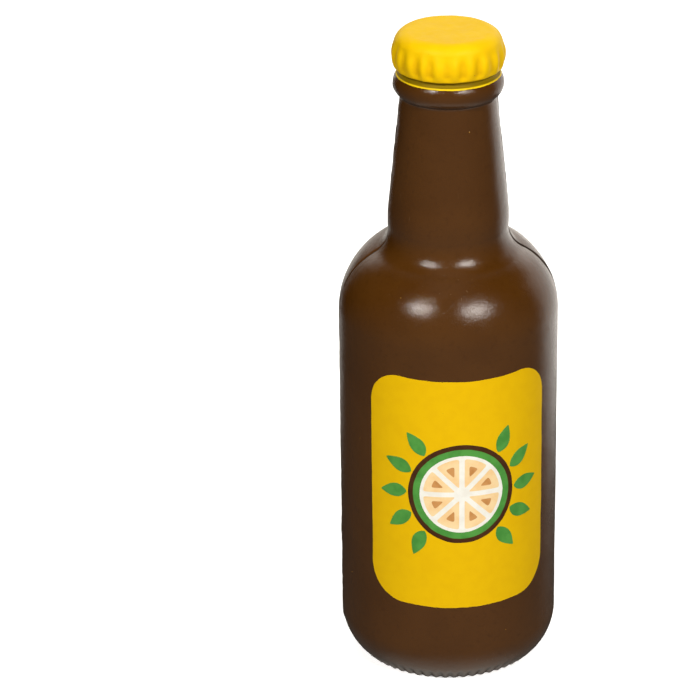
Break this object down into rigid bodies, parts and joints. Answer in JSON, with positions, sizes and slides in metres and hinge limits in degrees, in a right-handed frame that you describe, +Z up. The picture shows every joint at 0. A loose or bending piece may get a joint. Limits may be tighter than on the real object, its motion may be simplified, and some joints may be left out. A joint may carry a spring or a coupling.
{
  "type": "foam soda bottle squeeze toy",
  "caption": "Soft foam squeeze toy shaped like a capped soda bottle: brown moulded skin, yellow fluted crown and a yellow label panel with a plain fruit-slice emblem.",
  "frame": {"origin": "centre of the flat base, on the surface that the toy stands on", "axes": "+Z up along the bottle's axis, the label faces -Y, +X is to the right of a person who faces the label, and the parting line lies in the plane Y = 0"},
  "size_m": [0.0452, 0.0448, 0.1355],
  "materials": {
    "foam": "soft self-skinned polyurethane foam, matt",
    "brown_coat": "flexible brown mould coat, satin",
    "flash": "trimmed edge of the mould coat, matt",
    "yellow_coat": "flexible sprayed coat, satin",
    "label_ink": "printed ink panel, satin",
    "ink_brown": "printed ink, satin",
    "ink_green": "printed ink, satin",
    "ink_white": "printed ink, satin",
    "ink_cream": "printed ink, satin",
    "ink_tan": "printed ink, satin"
  },
  "bodies": {
    "root": {"foam_core": "foam", "coat_front": "brown_coat", "coat_rear": "brown_coat", "flash_left": "flash", "flash_right": "flash", "crown_paint": "yellow_coat", "label_panel": "label_ink", "print_brown": "ink_brown", "print_green": "ink_green", "print_white": "ink_white", "print_cream": "ink_cream", "print_tan": "ink_tan"}
  },
  "joints": []
}
